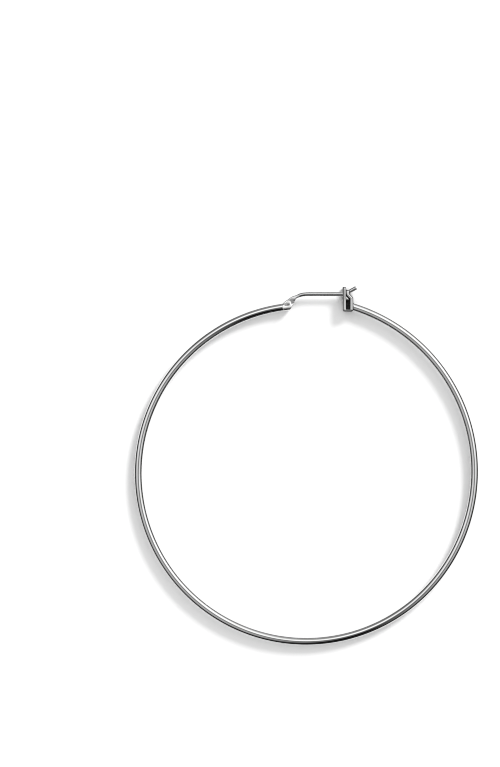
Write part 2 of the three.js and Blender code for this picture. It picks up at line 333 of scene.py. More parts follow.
def silverMaterial(name, look):
    # polished metal: its colour drifts a little with tarnish, its roughness with haze and strokes
    material = bpy.data.materials.new(name)
    material.use_nodes = True
    tree = material.node_tree
    shader = tree.nodes["Principled BSDF"]
    shader.inputs["Metallic"].default_value = 1.0
    shader.inputs["IOR"].default_value = 1.45
    coords = tree.nodes.new("ShaderNodeTexCoord")
    strokes = groupNode(tree, strokesGroup, {"Strokes": coords.outputs["UV"],
                                             "Fineness": look["fineness"],
                                             "Length": look["strokeLength"]})
    haze = groupNode(tree, hazeGroup, {"Place": coords.outputs["Object"],
                                       "Patch Size": look["patchSize"]})
    specks = mathNode(tree, "MULTIPLY", haze.outputs["Specks"], look["speckShare"])
    colour = groupNode(tree, tarnishGroup, {"Bright": look["bright"], "Dull": look["dull"],
                                            "Speck": look["speck"],
                                            "Haze": haze.outputs["Haze"],
                                            "Specks": specks}).outputs["Colour"]
    rough = mathNode(tree, "MULTIPLY", haze.outputs["Haze"], look["hazeRoughness"])
    rough = mathNode(tree, "ADD", rough, mathNode(tree, "MULTIPLY", strokes.outputs["Mask"],
                                                  look["strokeRoughness"]))
    rough = mathNode(tree, "ADD", rough, look["roughness"])
    # painted shade: where a look has a dark skin colour, the painted shade attribute mixes the
    # colour towards it
    if "skin" in look:
        share = tree.nodes.new("ShaderNodeAttribute")
        share.attribute_name = "unpolished"
        skin = groupNode(tree, paintedShadeGroup, {"Colour": colour, "Skin": look["skin"],
                                           "Roughness": rough, "Share": share.outputs["Fac"]})
        colour, rough = skin.outputs["Colour"], skin.outputs["Roughness"]
    tree.links.new(colour, shader.inputs["Base Color"])
    tree.links.new(rough, shader.inputs["Roughness"])
    bump = tree.nodes.new("ShaderNodeBump")
    bump.inputs["Strength"].default_value = look["bump"]
    bump.inputs["Distance"].default_value = look["bumpDepth"] * millimetre
    tree.links.new(strokes.outputs["Height"], bump.inputs["Height"])
    tree.links.new(bump.outputs["Normal"], shader.inputs["Normal"])
    return material


# sizes of haze patches are in millimetres, and so is the depth of the strokes
tubeLook = {"bright": (0.93, 0.932, 0.935), "dull": (0.88, 0.878, 0.872),
            "speck": (0.74, 0.73, 0.71), "speckShare": 0.35, "roughness": 0.02,
            "hazeRoughness": 0.03, "strokeRoughness": 0.02, "bump": 0.05, "bumpDepth": 0.01,
            "fineness": 5.0, "strokeLength": 14.0, "patchSize": 3.5}
# the catch's skin is the near-black colour of its painted shade
catchLook = dict(tubeLook, roughness=0.04, hazeRoughness=0.04, strokeLength=6.0, patchSize=1.6,
                 bump=0.08, skin=(0.03, 0.03, 0.031))
# painted light and shade: the knuckle, wire and rivet are the same silver as the tube, in copies
# painted lighter for the knuckle and darker for the wire and rivet
knuckleLook = dict(tubeLook, bright=(0.97, 0.97, 0.972), roughness=0.18, hazeRoughness=0.12,
                   strokeLength=4.0, patchSize=0.9, bump=0.2)
wireLook = dict(tubeLook, bright=(0.74, 0.742, 0.746), dull=(0.7, 0.7, 0.698), roughness=0.22,
                strokeLength=20.0, bump=0.08, patchSize=2.2)
rivetLook = dict(tubeLook, bright=(0.8, 0.803, 0.81), dull=(0.7, 0.7, 0.7), roughness=0.18,
                 hazeRoughness=0.1, strokeLength=2.0, patchSize=0.5, bump=0.25)
tubeSilver = silverMaterial("polished tube silver", tubeLook)
catchSilver = silverMaterial("folded catch silver", catchLook)
knuckleSilver = silverMaterial("filed knuckle silver, painted lighter", knuckleLook)
wireSilver = silverMaterial("drawn wire silver, painted darker", wireLook)
rivetSilver = silverMaterial("peened rivet silver, painted darker", rivetLook)
print("materials made")

hoop = {
    "radius": 31.28, "flareExtra": 0.82, "flareStart": -27.0, "hingeEnd": 98.0,
    "catchEnd": 72.8, "tube": 0.75, "bore": 0.5, "rim": 0.09, "boreDepth": 2.0,
    "solder": 0.11, "solderTurn": 80.0, "intoCatch": 0.15, "steps": 640, "sides": 56,
}
flareCentre = arcPoint((0, 0), -hoop["flareExtra"], hoop["flareStart"])
flareRadius = hoop["radius"] + hoop["flareExtra"]
hingeEnd = arcPoint((0, 0), hoop["radius"], hoop["hingeEnd"])
catchEnd = arcPoint(flareCentre, flareRadius, hoop["catchEnd"])
# the drawing's place in the frame: the hoop's leftmost and lowest points stand on the sides of
# the frame's box, and the tube's middle plane at half its height
outermost = hoop["radius"] + hoop["tube"]
drawingPlace = np.array([cadLow[0] / millimetre + outermost, cadLow[1] / millimetre + outermost,
                         cadHigh[2] / millimetre / 2])
mainSpan = hoop["radius"] * np.radians(360 + hoop["flareStart"] - hoop["hingeEnd"])
flareSpan = flareRadius * np.radians(hoop["catchEnd"] - hoop["flareStart"])


def hoopDeg(run):
    # angle about its own arc's centre by distance from the hinge: main arc, then wider arc
    return np.where(run < mainSpan, hoop["hingeEnd"] + np.degrees(run / hoop["radius"]),
                    hoop["flareStart"] + np.degrees((run - mainSpan) / flareRadius))


def hoopLine(run):
    # the centreline: a point on the main arc, then on the wider arc to the catch
    deg = hoopDeg(run)
    return np.where((run < mainSpan)[:, None], arcPoint((0, 0), hoop["radius"], deg),
                    arcPoint(flareCentre, flareRadius, deg))


def tubeShell():
    # circles carried along the centreline; the rows first come up the bore and over its rounded
    # rim, and last flare a little where the solder meets the catch
    end = mainSpan + flareSpan
    quarter = np.radians(np.linspace(0, 90, 5))
    rim, solder = hoop["rim"], hoop["solder"]
    rimRun = np.concatenate([rim - rim * np.sin(quarter), rim - rim * np.cos(quarter)])
    rimRadius = np.concatenate([hoop["bore"] + rim - rim * np.cos(quarter),
                                hoop["tube"] - rim + rim * np.sin(quarter)])
    body = np.linspace(3 * rim, end - 2 * solder, hoop["steps"])
    fillet = np.radians(np.linspace(0, hoop["solderTurn"], 6))
    flare = hoop["tube"] + solder * (1 - np.cos(fillet))
    run = np.concatenate([[hoop["boreDepth"]] * 2, rimRun, body,
                          end - solder + solder * np.sin(fillet), [end + hoop["intoCatch"]] * 2])
    radius = np.concatenate([[0, hoop["bore"]], rimRadius, np.full(len(body), hoop["tube"]),
                             flare, [flare[-1], 0]])
    spin = np.linspace(0, 2 * np.pi, hoop["sides"] + 1)
    centre, out = hoopLine(run), arcPoint((0, 0), 1.0, hoopDeg(run))
    across = radius[:, None] * np.cos(spin[None, :-1])
    up = radius[:, None] * np.sin(spin[None, :-1])
    points = np.concatenate([centre[:, None] + across[..., None] * out[:, None], up[..., None]], -1)
    return gridShell(points, run, hoop["tube"] * spin)


makePiece("hoop_tube", [tubeShell()], tubeSilver, "hoop", "hoop", 50)

hinge = {
    "length": 1.85, "slant": 38.0, "slotHalf": 0.27, "lugHalf": 0.72, "lugRadius": 0.67,
    "ramp": 33.0, "pinAlong": 1.06, "pinAcross": 0.52, "hole": 0.31, "edge": 0.06, "endEdge": 0.14,
    "crown": 0.045, "foot": 0.11, "lean": 0.1, "square": 3.0, "roll": 0.12, "corner": 0.03,
    "tuck": 0.02,
}
hingeTurn = np.radians(hoop["hingeEnd"] - 90)


def atHinge(points):
    # from along-and-across the tube's end to the drawing plane: a turn and a move
    c, s = np.cos(hingeTurn), np.sin(hingeTurn)
    x = hingeEnd[0] + points[..., 0] * c - points[..., 1] * s
    y = hingeEnd[1] + points[..., 0] * s + points[..., 1] * c
    return np.stack([x, y, points[..., 2]], -1)


def rodHalf():
    # D section: a filed, squarish superellipse above the slot, closed by a flat; carried along
    # the rod to its leaning end; the first and last rows draw in to round the edges
    slot, radius, edge, foot = hinge["slotHalf"], hoop["tube"], hinge["endEdge"], hinge["foot"]
    power = 2 / hinge["square"]
    start = np.arcsin((slot / radius) ** (1 / power))
    arc = np.linspace(start + hinge["corner"], np.pi - start - hinge["corner"], 41)
    wide, tall = np.cos(arc), np.sin(arc)
    top = radius * np.stack([np.sign(wide) * np.abs(wide) ** power, tall ** power], -1)
    side = radius * np.cos(start) ** power - hinge["tuck"]
    flat = np.stack([np.linspace(-side, side, 17), np.full(17, slot)], -1)
    section = np.concatenate([top, flat])
    quarter = np.radians(np.linspace(0, 90, 5))
    c, s = np.cos(quarter), np.sin(quarter)
    inset = np.concatenate([[farIn], foot * (1 - s), np.zeros(10), edge * (1 - c), [farIn]])
    share = np.concatenate([np.zeros(6), np.linspace(0.08, 0.95, 10), np.ones(6)])
    backOff = np.concatenate([[0], -foot * (1 - c), np.zeros(10), edge * (1 - s), [0]])
    toMiddle = np.array([0.0, (slot + radius) / 2]) - section
    reach = np.linalg.norm(toMiddle, axis=1)[:, None]
    drawn = section + toMiddle / reach * np.minimum(inset[:, None, None], reach)
    end = hinge["length"] + drawn[..., 0] * np.tan(np.radians(hinge["slant"]))
    along = -hinge["tuck"] + (end + hinge["tuck"]) * share[:, None] - backOff[:, None]
    # the cheek is filed a little lower on the clasp's side
    lift = hinge["roll"] * drawn[..., 0] * (drawn[..., 1] - slot) / (radius - slot)
    points = np.stack([along, drawn[..., 0], drawn[..., 1] - lift], -1)
    return gridShell(atHinge(points), share * hinge["length"],
                     np.linspace(0, 2.4, len(section) + 1))


def outlineReach(deg, sides, roundRadius, roundFrom, roundTo):
    # distance from the pin to a convex outline by angle: the nearest of its straight sides, each
    # given by its normal's angle and distance, or a plain circle between two angles
    reach = np.full(deg.shape, farOut)
    for normalDeg, distance in sides:
        c = np.cos(np.radians(deg - normalDeg))
        reach = np.minimum(reach, np.where(c > 1e-3, distance / np.maximum(c, 1e-3), farOut))
    inRound = ((deg - roundFrom) % 360) < (roundTo - roundFrom)
    return np.where(inRound, roundRadius, reach)


def plateRing(deg, reach, hole, low, high, edge, foot, crown):
    # a plate round a hole: at every angle a rounded rectangle from the hole to the outline, whose
    # upper face drops by the crown times the square of the share of the way out
    n, flat = 5, 8
    quarter = np.radians(np.linspace(0, 90, n))
    c, s = np.cos(quarter), np.sin(quarter)
    share = np.concatenate([np.zeros(n), np.linspace(0, 1, flat), np.ones(2 * n),
                            np.linspace(1, 0, flat), np.zeros(n)])
    inset = np.concatenate([np.zeros(n), np.full(flat, edge), np.zeros(2 * n),
                            np.full(flat, foot), np.zeros(n)])
    addR = np.concatenate([edge * (1 - c), np.zeros(flat), -edge * (1 - s[::-1]),
                           -foot * (1 - c), np.zeros(flat), foot * (1 - s[::-1])])
    z = np.concatenate([high - edge * (1 - s), np.full(flat, high), high - edge * (1 - c[::-1]),
                        low + foot * (1 - s), np.full(flat, low), low + foot * (1 - c[::-1])])
    z = z - np.where(np.arange(len(z)) < flat + 2 * n, crown * share ** 2, 0)
    inner, far = hole + inset, reach[:, None] - inset
    r = inner + (far - inner) * share + addR
    a = np.radians(deg)[:, None]
    points = np.stack([r * np.cos(a), r * np.sin(a), np.broadcast_to(z, r.shape)], -1)
    return points, np.linspace(0, 3, r.shape[1] + 1)


def lugHalf():
    # one cheek: the lug's outline about the pin, seen from the side
    ramp = 90 + hinge["ramp"]
    topX = hinge["pinAlong"] + hinge["lugRadius"] * np.cos(np.radians(ramp))
    topY = hinge["pinAcross"] + hinge["lugRadius"] * np.sin(np.radians(ramp))
    footX = topX - (topY - hoop["tube"]) / np.tan(np.radians(hinge["ramp"]))
    deg = np.linspace(0, 360, 145)
    reach = outlineReach(deg, [(0, hinge["lugRadius"]), (ramp, hinge["lugRadius"]),
                               (180, hinge["pinAlong"] - footX), (270, hinge["pinAcross"])],
                         hinge["lugRadius"], 0, ramp)
    points, around = plateRing(deg, reach, hinge["hole"], hinge["slotHalf"], hinge["lugHalf"],
                               hinge["edge"], hinge["tuck"], hinge["crown"])
    # the filed cheek leans a little outward and towards the clasp
    above = points[..., 2] > (hinge["slotHalf"] + hinge["lugHalf"]) / 2
    points[..., 2] -= above * hinge["lean"] * np.clip(points[..., 0] + points[..., 1], -0.2, 1)
    points = points + np.array([hinge["pinAlong"], hinge["pinAcross"], 0])
    return gridShell(atHinge(points), np.radians(deg) * 0.5, around)


rod, lug = rodHalf(), lugHalf()
makePiece("hinge_knuckle", [rod, lug, mirrored(rod), mirrored(lug)], knuckleSilver, "hoop", None,
          40)
pinXY = atHinge(np.array([hinge["pinAlong"], hinge["pinAcross"], 0.0]))[:2]

rivet = {"shaft": 0.28, "head": 0.37, "under": 0.75, "underEdge": 0.01, "crown": 0.84,
         "dome": 0.03, "rim": 0.03, "sides": 48}


def rivetShell():
    # turned about the pin's line: shaft, flat underhead, rounded rim and a shallow dome that
    # falls with the square of the radius
    rim, head, under, small = rivet["rim"], rivet["head"], rivet["under"], rivet["underEdge"]
    r = np.linspace(1, 0, 9)
    dome = np.stack([r * (head - rim), rivet["crown"] - rivet["dome"] * r ** 2], -1)
    quarter = np.radians(np.linspace(0, 90, 5))
    edge = np.stack([head - rim * (1 - np.cos(quarter)),
                     rivet["crown"] - rivet["dome"] - rim + rim * np.sin(quarter)], -1)
    half = np.concatenate([[[rivet["shaft"], under], [head - small, under],
                            [head, under + small]], edge, dome[1:]])
    profile = np.concatenate([half[::-1] * [1, -1], half])
    spin = np.linspace(0, 2 * np.pi, rivet["sides"] + 1)
    ring = spin[:-1]
    points = np.stack([pinXY[0] + profile[:, :1] * np.cos(ring),
                       pinXY[1] + profile[:, :1] * np.sin(ring),
                       np.repeat(profile[:, 1:], len(ring), 1)], -1)
    return gridShell(points, alongLine(profile), spin * rivet["head"])


makePiece("hinge_rivet", [rivetShell()], rivetSilver, "hoop", "hinge_pin", 50)

# rows of the flat end: place from the rivet, half width, half thickness, squareness of the
# section and its roll in degrees
wire = {
    "radius": 0.382, "eyeRadius": 0.62, "eyeHole": 0.34, "eyeWay": 43.3, "eyeHalf": 0.226,
    "eyeEdge": 0.04, "eyeCrown": 0.012, "eyeSide": (85.35, 0.6173), "eyeEnd": 0.8,
    "rows": [
        (0.36, 0.34, 0.50, 0.23, 5.0, 0), (0.58, 0.55, 0.55, 0.23, 5.0, 0),
        (0.77, 0.73, 0.53, 0.23, 4.6, 0), (0.955, 0.89, 0.48, 0.23, 4.0, 3),
        (1.135, 1.04, 0.42, 0.23, 3.6, 8), (1.31, 1.155, 0.36, 0.23, 3.2, 11),
        (1.495, 1.25, 0.31, 0.232, 3.0, 12), (1.70, 1.335, 0.30, 0.245, 2.8, 11),
        (1.90, 1.42, 0.325, 0.295, 2.5, 7), (2.08, 1.495, 0.36, 0.35, 2.2, 3),
        (2.26, 1.565, 0.38, 0.378, 2.0, 0.5),
    ],
    "shoulderTurn": 2.85, "shoulderEnd": 4.05, "aboveBottom": 3.29, "tipDeg": 28.8,
    "tipBehind": 0.37, "tipBend": 0.42, "tipLength": 2.45, "tipEdge": 0.09, "sides": 40,
}
catch = {
    "depth": 1.95, "height": 4.6, "backHeight": 4.1, "half": 1.25, "tubeAbove": 0.91,
    "sheet": 0.58, "foldSheet": 0.43, "fold": 0.38, "bendInside": 0.14,
    "joggle": 0.7, "joggleTop": 3.31, "slotHalf": 0.432, "slotFoot": 2.988,
    "keyhole": 0.49, "keyholeAt": 2.53, "slitHalf": 0.08, "slitFoot": 0.63,
    "lipRadius": 0.61, "lipLength": 0.53, "lipGap": 0.2, "lipSpan": 126.0, "lipSquare": 3.5,
    "lipEdge": 0.03, "lipSunk": 0.1, "foldInside": 0.12, "tuck": 0.004, "overlap": 0.08,
    # the outline and fold shares paint shade on the catch, and the top share paints the wall darker
    # above the keyhole
    "edge": 0.15, "crown": 0.045, "outline": 0.85, "foldShade": 0.6, "foldTo": 0.35,
    "foldFade": 0.2, "topDull": 0.3, "topFrom": 2.0, "topFade": 0.5,
}
catchBack = catchEnd[0]
catchFront = catchBack - catch["depth"]
catchBottom = catchEnd[1] - catch["tubeAbove"]
wireLine = catchBottom + wire["aboveBottom"]


def quadratic(start, control, end, t):
    # quadratic Bezier: the three points weighted (1-t)^2, 2t(1-t) and t^2
    t = t[:, None]
    return ((1 - t) ** 2 * np.asarray(start) + 2 * t * (1 - t) * np.asarray(control)
            + t ** 2 * np.asarray(end))


def wireShell():
    # one section carried from the flat end to the tip: a superellipse whose half width, half
    # thickness and squareness change along the line, and whose last rows round off the tip
    flatRows = smoothRows(wire["rows"], 6)
    neck = flatRows[:, :2] + pinXY
    shoulderEnd = pinXY[0] + wire["shoulderEnd"]
    bendX = catchFront + wire["tipBehind"]
    shoulder = quadratic(neck[-1], (pinXY[0] + wire["shoulderTurn"], wireLine),
                         (shoulderEnd, wireLine), np.linspace(0, 1, 19)[1:])
    way = np.array([np.cos(np.radians(wire["tipDeg"])), np.sin(np.radians(wire["tipDeg"]))])
    bend = np.array([bendX, wireLine])
    bendStart = bend - [wire["tipBend"], 0]
    bendEnd = bend + way * wire["tipBend"]
    straightX = np.linspace(shoulderEnd, bendStart[0], 24)[1:-1]
    straight = np.stack([straightX, np.full(len(straightX), wireLine)], -1)
    quarter = np.radians(np.linspace(0, 90, 7))
    edge = wire["tipEdge"]
    tipRun = np.concatenate([np.linspace(wire["tipBend"], wire["tipLength"] - edge, 10)[1:-1],
                             wire["tipLength"] - edge + edge * np.sin(quarter)])
    tip = bend + tipRun[:, None] * way
    line = np.concatenate([neck, shoulder, straight,
                           quadratic(bendStart, bend, bendEnd, np.linspace(0, 1, 14)), tip,
                           tip[-1:] + way * 1e-4])
    rest = len(line) - len(neck)
    half = np.concatenate([flatRows[:, 2], np.full(rest, wire["radius"])])
    thick = np.concatenate([flatRows[:, 3], np.full(rest, wire["radius"])])
    square = np.concatenate([flatRows[:, 4], np.full(rest, 2.0)])
    roll = np.radians(np.concatenate([[0], flatRows[:, 5], np.zeros(rest)]))[:, None]
    rounding = edge * (1 - np.cos(quarter))
    tipRows = slice(-len(rounding) - 1, -1)
    half[tipRows] -= rounding
    thick[tipRows] -= rounding
    half[-1] = thick[-1] = 0
    line = np.concatenate([line[:1] - (line[1:2] - line[:1]) * 0.01, line])
    half, thick = np.concatenate([[0], half]), np.concatenate([[0], thick])
    square = np.concatenate([square[:1], square])
    out = sideways(line)
    spin = np.linspace(0, 2 * np.pi, wire["sides"] + 1)
    c, s = np.cos(spin[:-1]), np.sin(spin[:-1])
    power = 2 / square[:, None]
    across = half[:, None] * np.sign(c) * np.abs(c) ** power
    up = thick[:, None] * np.sign(s) * np.abs(s) ** power
    across, up = (across * np.cos(roll) + up * np.sin(roll),
                  up * np.cos(roll) - across * np.sin(roll))
    points = np.concatenate([line[:, None] + across[..., None] * out[:, None], up[..., None]], -1)
    return gridShell(points, alongLine(line), wire["radius"] * spin)


def eyeShell():
    # the flat eye round the rivet: a circle that two tangent sides carry towards the neck
    deg = np.linspace(0, 360, 121)
    turned = (deg - wire["eyeWay"] + 180) % 360 - 180
    way, distance = wire["eyeSide"]
    reach = outlineReach(turned, [(way, distance), (-way, distance), (0, wire["eyeEnd"])],
                         wire["eyeRadius"], 80, 280)
    points, around = plateRing(deg, reach, wire["eyeHole"], -wire["eyeHalf"], wire["eyeHalf"],
                               wire["eyeEdge"], wire["eyeEdge"], wire["eyeCrown"])
    points = points + np.array([pinXY[0], pinXY[1], 0])
    return gridShell(points, np.radians(deg) * 0.5, around)


makePiece("ear_wire_post", [wireShell(), eyeShell()], wireSilver, "post", "ear_wire",
          55)

# the strip's two faces seen from the side; the inner one bends lower by its thickness times the
# tangent of a quarter of the right angle, so that the wall stays as thick through the joggle
joggleFoot = catch["joggleTop"] - catch["joggle"]
innerDrop = catch["sheet"] * np.tan(np.pi / 8)
outerCorners = [(0, catch["height"]), (0, 0), (catch["depth"], 0), (catch["depth"], joggleFoot),
                (catch["depth"] - catch["joggle"], catch["joggleTop"]),
                (catch["depth"] - catch["joggle"], catch["backHeight"])]
innerCorners = [(catch["sheet"], catch["height"]), (catch["sheet"], catch["foldSheet"]),
                (catch["depth"] - catch["sheet"], catch["foldSheet"]),
                (catch["depth"] - catch["sheet"], joggleFoot - innerDrop),
                (catch["depth"] - catch["joggle"] - catch["sheet"],
                 catch["joggleTop"] - innerDrop),
                (catch["depth"] - catch["joggle"] - catch["sheet"], catch["backHeight"])]
bendOutside = catch["bendInside"] + catch["sheet"]
bendPoints = 13
stripOuter = roundedLine(outerCorners, [catch["fold"], catch["fold"], bendOutside,
                                        catch["bendInside"]], bendPoints)
stripInner = roundedLine(innerCorners, [catch["foldInside"], catch["foldInside"],
                                        catch["bendInside"], bendOutside], bendPoints)


def stripAt(part):
    # the strip's outer and inner face at places counted in points along it: 0 is the front top
    k = np.arange(len(stripOuter))
    return [np.stack([np.interp(part, k, face[:, 0]), np.interp(part, k, face[:, 1])], -1)
            for face in (stripOuter, stripInner)]


def stripShell(outer, inner, sideLow, sideHigh, haze, thinner=None):
    # a rounded rectangle between the outer and inner face and between two sides, row by row; the
    # side faces drop from their middle by the crown times the square of the distance; corners
    # and crown shrink with the width, so a round end closes by itself
    rise = catch["crown"] / catch["edge"]
    edge = np.minimum(catch["edge"], (sideHigh - sideLow) / 2 * 0.999 / (1 + rise))[:, None]
    crown = edge * rise
    quarter = np.radians(np.linspace(0, 90, 5))
    c, s = np.cos(quarter)[None], np.sin(quarter)[None]
    depth = np.linalg.norm(inner - outer, axis=1)[:, None]
    skin = (np.zeros(len(outer)) if thinner is None else thinner)[:, None]
    low, high = sideLow[:, None] + crown, sideHigh[:, None] - crown
    lowWay, highWay = low + edge, high - edge
    fill = np.array([[0, 0.03, 0.2, 0.5, 0.8, 0.97, 1]])
    bow = np.linspace(0, 1, 9)[None, 1:-1]
    dome = crown * (1 - (2 * bow - 1) ** 2)
    near, far = skin + edge, depth - skin - edge
    z = np.concatenate([lowWay - edge * c, lowWay + (highWay - lowWay) * fill,
                        highWay + edge * s, high + dome, highWay + edge * c,
                        highWay + (lowWay - highWay) * fill, lowWay - edge * s, low - dome], 1)
    d = np.concatenate([near - edge * s, skin + 0 * fill, near - edge * c,
                        near + (far - near) * bow, far + edge * s, depth - skin + 0 * fill,
                        far + edge * c, far + (near - far) * bow], 1)
    way = (inner - outer) / depth
    xy = outer[:, None] + way[:, None] * d[..., None]
    xy = xy + np.array([catchFront, catchBottom])
    points = np.concatenate([xy, z[..., None]], -1)
    middle = (outer + inner) / 2
    # painted shade: the outer face's rounded edges carry a painted dark line, a painted reflection
    # of dark surroundings, and the whole inner face is painted dark for the shade in the fold's
    # hollow; the rest is bright
    outline, bend = [catch["outline"]] * 5, [0, 0, 0.3, 0.8, 1]
    unpolished = np.concatenate([outline, outline[:1], [0] * 5, outline[:1], outline, [0] * 7,
                                 bend, [1] * 7, bend[::-1], [0] * 7])
    # painted shade: the fold's outside is painted darker along the bottom
    fold = catch["foldShade"] * np.clip((catch["foldTo"] - outer[:, 1]) / catch["foldFade"], 0, 1)
    dull = np.maximum(fold, haze)[:, None]
    return gridShell(points, alongLine(middle), np.linspace(0, 6, points.shape[1] + 1),
                     np.maximum(unpolished, dull))


def prongSides(height, top, low):
    # sides of one prong by height: straight, and a half circle at its round top
    radius = (catch["half"] - catch["slotHalf"]) / 2
    middle = catch["half"] - radius
    rise = np.clip((height - (top - radius)) / radius, 0, 1)
    reach = radius * np.sqrt(1 - rise ** 2)
    isTop = rise > 0
    return np.where(isTop, middle - reach, low), np.where(isTop, middle + reach, catch["half"])


def flatEnd(points, last):
    # one more row with every point on the section's middle
    row = points[-1 if last else 0]
    return np.broadcast_to(row.mean(0), row.shape)[None]


def frontHalf():
    # front wall beside the slot, keyhole and slit: its inner side follows them by height
    radius = (catch["half"] - catch["slotHalf"]) / 2
    shoulder = catch["height"] - radius
    k, centre = catch["keyhole"], catch["keyholeAt"]
    mouth = centre + np.sqrt(k ** 2 - catch["slotHalf"] ** 2)
    throat = centre - np.sqrt(k ** 2 - catch["slitHalf"] ** 2)
    a = np.linspace(np.arcsin(catch["slotHalf"] / k), np.pi - np.arcsin(catch["slitHalf"] / k), 25)
    heights = np.concatenate([
        shoulder + radius * np.cos(np.radians(np.linspace(0, 90, 14))),
        np.linspace(shoulder, mouth, 8)[1:-1], centre + k * np.cos(a),
        np.linspace(throat, catch["slitFoot"], 12)[1:],
        [catch["slitFoot"] - 0.001, catch["slitFoot"] - catch["overlap"]]])
    low = np.where(heights > mouth, catch["slotHalf"], catch["slitHalf"])
    inHole = (heights <= mouth + 1e-9) & (heights >= throat - 1e-9)
    low = np.where(inHole, np.sqrt(np.maximum(k ** 2 - (heights - centre) ** 2, 0)), low)
    low, high = prongSides(heights, catch["height"], low)
    outer = np.stack([np.zeros(len(heights)), heights], -1)
    inner = np.stack([np.full(len(heights), catch["sheet"]), heights], -1)
    thinner = np.where(heights < catch["slitFoot"] - 0.0005, catch["tuck"], 0.0)
    # above the keyhole the wall is painted darker and rougher, by a share added to the one that
    # carries the painted shade
    haze = catch["topDull"] * np.clip((heights - catch["topFrom"]) / catch["topFade"], 0, 1)
    return stripShell(outer, inner, low, high - thinner, haze, thinner)


def backHalf():
    # back wall's prong beside its slot, from below the slot's foot to its round top
    outerHeight = stripOuter[:, 1]
    last = len(stripOuter) - 1
    back = last - 2 * bendPoints - 1
    start = np.interp(catch["slotFoot"], outerHeight[back:], np.arange(back, last + 1))
    top = catch["backHeight"]
    # counted in points, the round top takes this much of the last straight stretch
    roundPart = (catch["half"] - catch["slotHalf"]) / 2 / (top - outerHeight[-2])
    cap = last - roundPart * (1 - np.sin(np.radians(np.linspace(0, 90, 14))))
    straight = np.linspace(start, last - roundPart, 26)[1:-1]
    part = np.concatenate([[start - 0.6], [start], straight, cap])
    outer, inner = stripAt(part)
    height = np.maximum(outer[:, 1], inner[:, 1])
    low, high = prongSides(height, top, np.full(len(part), catch["slotHalf"]))
    thinner = np.where(part < start - 1e-6, catch["tuck"], 0.0)
    return stripShell(outer, inner, low, high - thinner, 0 * low, thinner), start


def baseShell(start):
    # full-width strip from the slit's foot round the fold to the back slot's foot, ends flat
    first = (catch["height"] - catch["slitFoot"]) / (catch["height"] - stripOuter[1, 1])
    part = np.concatenate([[first], np.arange(np.ceil(first + 1e-6), np.floor(start)), [start]])
    part = np.unique(np.concatenate([part, np.linspace(first, 1, 5)]))
    outer, inner = stripAt(part)
    inner[0] = [catch["sheet"], outer[0, 1]]
    half = np.full(len(part), catch["half"])
    strip = stripShell(outer, inner, -half, half, 0 * half)
    columns = len(strip[0]) // len(part)
    grid = strip[0].reshape(len(part), columns, 3)
    grid = np.concatenate([flatEnd(grid, False), grid, flatEnd(grid, True)])
    # the painted shade share of each row, carried on to the flat ends
    unpolished = strip[3].reshape(len(part), columns)
    unpolished = np.concatenate([unpolished[:1], unpolished, unpolished[-1:]])
    middle = np.concatenate([[0], alongLine((outer + inner) / 2) + 1e-3, [farIn]])
    return gridShell(grid, middle, np.linspace(0, 6, columns + 1), unpolished)


def lipShell():
    # raised lip on the front wall's inner face: a wall round the keyhole, open at the slot, a
    # circle inside and a squarish superellipse outside, cut short by the back wall's bend
    turn = np.linspace(-catch["lipSpan"], catch["lipSpan"], 73)
    a = np.radians(turn - 90)
    rIn, rOut, e = catch["keyhole"], catch["lipRadius"], catch["lipEdge"]
    quarter = np.radians(np.linspace(0, 90, 4))
    c, s = np.cos(quarter), np.sin(quarter)
    n = catch["lipSquare"]
    squarish = (np.abs(np.cos(a)) ** n + np.abs(np.sin(a)) ** n) ** (-1 / n)
    share = np.concatenate([[0, 0], 0 * c, 0 * s + 1, [1, 1]])
    radial = np.concatenate([[rIn, rIn], rIn + e * (1 - c), rOut - e * (1 - s), [rOut, rOut]])
    radial = radial * (1 + share * (squarish[:, None] - 1))
    tip = np.concatenate([[0, 0], s, c, [0, 0]])
    y = catch["keyholeAt"] + radial * np.sin(a)[:, None]
    z = radial * np.cos(a)[:, None]
    bendFoot = joggleFoot - innerDrop
    cut = catch["depth"] - catch["sheet"] - catch["lipGap"] * np.sqrt(2) - np.maximum(
        y - bendFoot, 0)
    reach = np.minimum(catch["sheet"] + catch["lipLength"], cut)
    isEnd = np.concatenate([[False, False], np.ones(8, bool), [False, False]])
    base = np.full(len(share), catch["sheet"] - catch["lipSunk"])
    base[1] = base[-2] = catch["sheet"] + 0.02
    x = np.where(isEnd, reach - e + e * tip, base)
    points = np.stack([x + catchFront, y + catchBottom, z], -1)
    points = np.concatenate([flatEnd(points, False), points, flatEnd(points, True)])
    along = np.concatenate([[0], np.radians(turn + catch["lipSpan"]) * rOut, [2.4]])
    return gridShell(points, along, np.linspace(0, 1.4, points.shape[1] + 1))


frontSide = frontHalf()
backSide, backStart = backHalf()
makePiece("catch_strip", [baseShell(backStart), frontSide, mirrored(frontSide), backSide,
                          mirrored(backSide)], catchSilver, "hoop", None, 40)
makePiece("keyhole_lip", [lipShell()], catchSilver, "hoop", None, 40)

studio = {
    "cameraX": -10.504, "cameraY": 15.301, "cameraAbove": 700.0, "viewLong": 142.9,
    "tableRadius": 900.0, "tableWhite": 0.82, "keyTurn": 51.0, "keyHeight": 29.5,
    "keyAngle": 22.0, "keyStrength": 3.8, "skyForTable": 1.22, "backdrop": 1.0,
    "wallFoot": 0.0, "wallTop": 0.12, "grazeDark": 0.06, "grazeWhite": 0.75,
    "narrowReach": 5.0, "narrowDark": 0.2, "narrowWhite": 0.36, "tableDark": 0.02,
    "skyDark": 0.004, "tableSides": 96,
}


